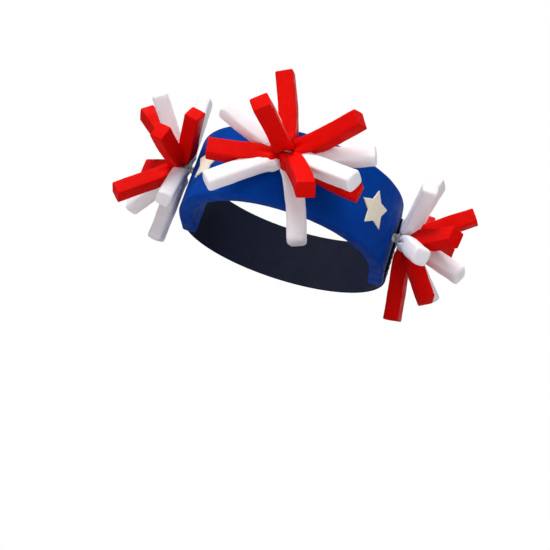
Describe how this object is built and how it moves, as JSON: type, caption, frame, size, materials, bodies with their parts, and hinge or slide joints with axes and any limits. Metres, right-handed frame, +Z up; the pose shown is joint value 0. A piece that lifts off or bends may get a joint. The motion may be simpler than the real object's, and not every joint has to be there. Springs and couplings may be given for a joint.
{
  "type": "foam firework headband",
  "caption": "Blue foam brow band with two cream stars, a stretch strap behind and bursts of red and white foam strips at the front and sides, worn as a party costume.",
  "frame": {"origin": "centre of the front arc of the head opening, level with the band's lower edge", "axes": "+Z up as worn, the wearer faces -Y, +X is the wearer's left"},
  "size_m": [0.3042, 0.268, 0.1447],
  "materials": {
    "blue_foam": "matte fine-cell polyurethane foam, royal blue",
    "red_foam": "matte fine-cell polyurethane foam, red",
    "white_foam": "matte fine-cell polyurethane foam, white",
    "cream_felt": "flat cream craft sheet with a short nap",
    "navy_elastic": "woven elastic with fine ribs, near-black navy",
    "stitch_thread": "twisted polyester thread, navy",
    "white_cord": "twisted nylon cord, white",
    "washer_nylon": "natural nylon, satin"
  },
  "bodies": {
    "headband": {"foam_band": "blue_foam", "left_star": "cream_felt", "right_star": "cream_felt", "rear_strap": "navy_elastic", "left_stitching": "stitch_thread", "right_stitching": "stitch_thread", "front_washer": "washer_nylon", "left_washer": "washer_nylon", "right_washer": "washer_nylon"},
    "front_anchor": {"front_cord": "white_cord"},
    "front_burst": {"front_red_strip_a": "red_foam", "front_red_strip_b": "red_foam", "front_red_strip_c": "red_foam", "front_white_strip_a": "white_foam", "front_white_strip_b": "white_foam", "front_white_strip_c": "white_foam"},
    "left_anchor": {"left_cord": "white_cord"},
    "left_burst": {"left_red_strip_a": "red_foam", "left_red_strip_b": "red_foam", "left_red_strip_c": "red_foam", "left_white_strip_a": "white_foam", "left_white_strip_b": "white_foam", "left_white_strip_c": "white_foam"},
    "right_anchor": {"right_cord": "white_cord"},
    "right_burst": {"right_red_strip_a": "red_foam", "right_red_strip_b": "red_foam", "right_red_strip_c": "red_foam", "right_white_strip_a": "white_foam", "right_white_strip_b": "white_foam", "right_white_strip_c": "white_foam"}
  },
  "joints": [
    {"name": "front_turn", "type": "hinge", "parent": "headband", "child": "front_anchor", "pos_m": [-0.00339, -0.09694, 0.0365], "axis": [-0.0349, -0.9994, 0], "range_deg": [-15, 15], "stiffness_Nm_per_rad": 0.004},
    {"name": "front_nod", "type": "hinge", "parent": "front_anchor", "child": "front_burst", "pos_m": [-0.00339, -0.09694, 0.0365], "axis": [0.9994, -0.0349, 0], "range_deg": [-6, 6], "stiffness_Nm_per_rad": 0.006},
    {"name": "left_turn", "type": "hinge", "parent": "headband", "child": "left_anchor", "pos_m": [0.09647, -0.01014, 0.031], "axis": [0.9945, -0.1045, 0], "range_deg": [-15, 15], "stiffness_Nm_per_rad": 0.004},
    {"name": "left_nod", "type": "hinge", "parent": "left_anchor", "child": "left_burst", "pos_m": [0.09647, -0.01014, 0.031], "axis": [0.1045, 0.9945, 0], "range_deg": [-6, 6], "stiffness_Nm_per_rad": 0.006},
    {"name": "right_turn", "type": "hinge", "parent": "headband", "child": "right_anchor", "pos_m": [-0.09647, -0.01014, 0.04], "axis": [-0.9945, -0.1045, 0], "range_deg": [-15, 15], "stiffness_Nm_per_rad": 0.004},
    {"name": "right_nod", "type": "hinge", "parent": "right_anchor", "child": "right_burst", "pos_m": [-0.09647, -0.01014, 0.04], "axis": [0.1045, -0.9945, 0], "range_deg": [-6, 6], "stiffness_Nm_per_rad": 0.006}
  ]
}
